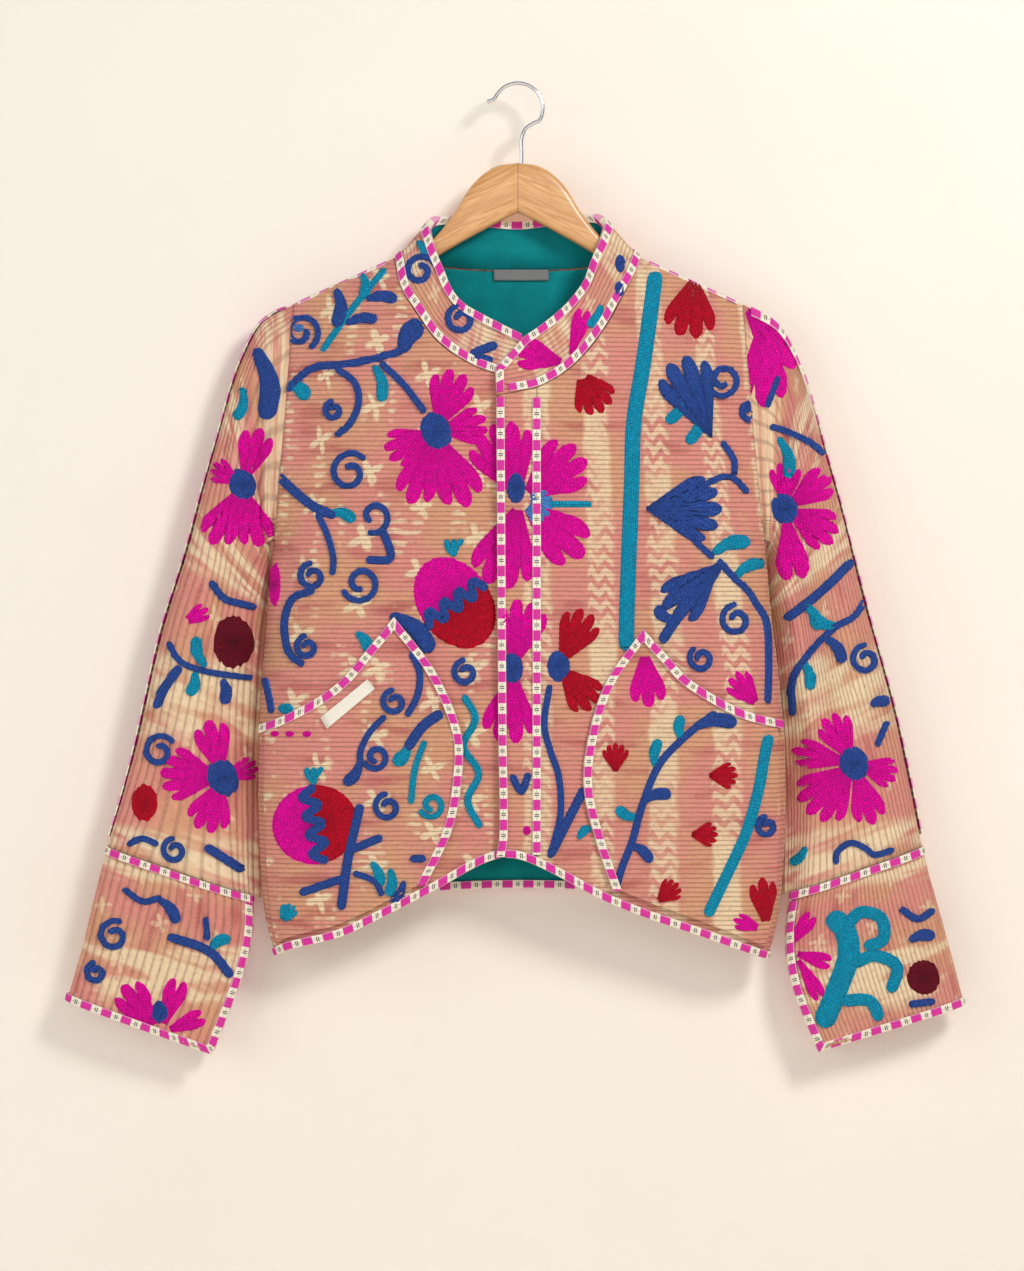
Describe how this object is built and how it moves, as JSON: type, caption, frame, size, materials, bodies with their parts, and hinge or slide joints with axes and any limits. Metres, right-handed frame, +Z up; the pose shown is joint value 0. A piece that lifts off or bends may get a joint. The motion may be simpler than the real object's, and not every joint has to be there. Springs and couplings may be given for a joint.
{
  "type": "embroidered quilted jacket on a hanger",
  "caption": "Short open-hem quilted cotton jacket with a stand collar, patch pockets, deep cuffs and taped edges, hung flat on a shaped wooden hanger with a wire hook.",
  "frame": {"origin": "top of the hook's inside, where the rail or peg carries it", "axes": "+Z up, the jacket's front faces -Y, +X is the wearer's left"},
  "size_m": [0.8344, 0.0715, 0.9001],
  "materials": {
    "cloth": "quilted cotton, printed and embroidered",
    "tape": "woven cotton tape in pink and cream blocks",
    "lining": "plain teal cotton",
    "grey_label": "woven label, bare",
    "pale_label": "woven label, bare",
    "wood": "varnished",
    "steel": "polished wire"
  },
  "bodies": {
    "root": {"front_right": "cloth", "front_left": "cloth", "placket": "cloth", "back": "cloth", "sleeve_right_front": "cloth", "sleeve_right_back": "cloth", "sleeve_left_front": "cloth", "sleeve_left_back": "cloth", "cuff_right": "cloth", "cuff_left": "cloth", "collar": "cloth", "pocket_right": "cloth", "pocket_left": "cloth", "hem_front_right": "tape", "hem_front_left": "tape", "hem_back": "tape", "placket_edge": "tape", "placket_inner": "tape", "collar_top": "tape", "collar_seam": "tape", "shoulder_right": "tape", "shoulder_left": "tape", "pocket_tape_right": "tape", "pocket_tape_left": "tape", "sleeve_tape_right": "tape", "sleeve_tape_left": "tape", "cuff_top_right": "tape", "cuff_hem_right": "tape", "cuff_top_left": "tape", "cuff_hem_left": "tape", "back_lining": "lining", "collar_lining": "lining", "neck_label": "grey_label", "pocket_label": "pale_label", "hanger_wood": "wood", "hanger_hook": "steel"}
  },
  "joints": []
}
